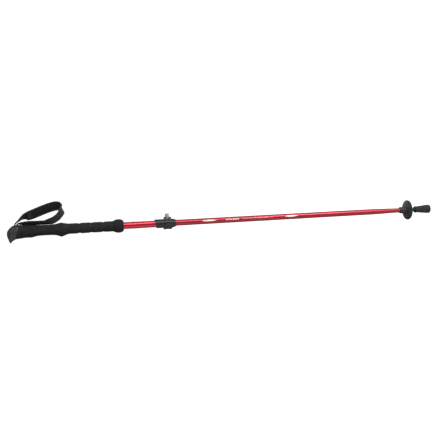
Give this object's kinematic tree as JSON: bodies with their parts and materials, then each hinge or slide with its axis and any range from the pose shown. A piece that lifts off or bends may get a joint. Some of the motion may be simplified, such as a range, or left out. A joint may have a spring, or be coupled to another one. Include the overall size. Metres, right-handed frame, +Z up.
{
  "type": "ski pole",
  "caption": "Adjustable two-section ski pole with a foam grip, padded wrist strap, lever clamp, small round basket and rubber foot.",
  "frame": {"origin": "middle of the rubber foot's bottom face", "axes": "+Z up the pole from the foot to the head, +X towards the side where the wrist strap leaves the head, -X towards the fingers, +Y by the right-hand rule"},
  "size_m": [0.1011, 0.057, 1.1727],
  "materials": {
    "head_plastic": "satin moulded plastic, blue-grey",
    "foam": "closed-cell foam",
    "core_plastic": "plain moulded plastic",
    "red_gloss": "bright anodised, glossy",
    "red_satin": "anodised, satin",
    "steel": "turned steel",
    "nut_metal": "knurled, plated",
    "webbing": "ribbed woven polyester",
    "padding": "padded wrist band",
    "clamp_plastic": "semi-gloss moulded plastic",
    "tip_plastic": "moulded plastic",
    "carbide": "sintered carbide",
    "rubber": "moulded rubber"
  },
  "bodies": {
    "upper": {"head_cap": "head_plastic", "foam_grip": "foam", "grip_core": "core_plastic", "foam_sleeve": "foam", "upper_tube": "red_gloss", "strap_pin": "steel", "strap_tail": "webbing", "strap_wedge": "core_plastic", "clamp_collar": "clamp_plastic", "lever_pin": "steel", "tension_bolt": "steel", "bolt_washer": "steel"},
    "strap": {"strap_webbing": "webbing", "strap_pad": "padding"},
    "lever": {"clamp_lever": "clamp_plastic"},
    "nut": {"thumb_nut": "nut_metal"},
    "slider": {"shaft_plug": "core_plastic"},
    "lower": {"lower_tube": "red_satin", "tip_ferrule": "tip_plastic", "tip_holder": "steel", "carbide_tip": "carbide"},
    "basket": {"basket": "tip_plastic"},
    "foot": {"rubber_foot": "rubber", "foot_disc": "steel"}
  },
  "joints": [
    {"name": "length_slide", "type": "slide", "parent": "upper", "child": "slider", "axis": [0, 0, -1], "range_m": [-0.1, 0.15]},
    {"name": "shaft_turn", "type": "hinge", "parent": "slider", "child": "lower", "pos_m": [0, 0, 1.0234], "axis": [0, 0, 1], "continuous": true},
    {"name": "basket_turn", "type": "hinge", "parent": "lower", "child": "basket", "pos_m": [0, 0, 0.08], "axis": [0, 0, 1], "continuous": true},
    {"name": "foot_pull", "type": "slide", "parent": "lower", "child": "foot", "axis": [0, 0, -1], "range_m": [0, 0.06]},
    {"name": "lever_swing", "type": "hinge", "parent": "upper", "child": "lever", "pos_m": [-0.01246, 0.0138, 0.767], "axis": [0, 0, -1], "range_deg": [0, 110]},
    {"name": "nut_turn", "type": "hinge", "parent": "upper", "child": "nut", "pos_m": [0.019, 0.0138, 0.767], "axis": [1, 0, 0], "continuous": true},
    {"name": "strap_swing", "type": "hinge", "parent": "upper", "child": "strap", "pos_m": [0.0173, 0, 1.1502], "axis": [0, -1, 0], "range_deg": [0, 70]}
  ]
}
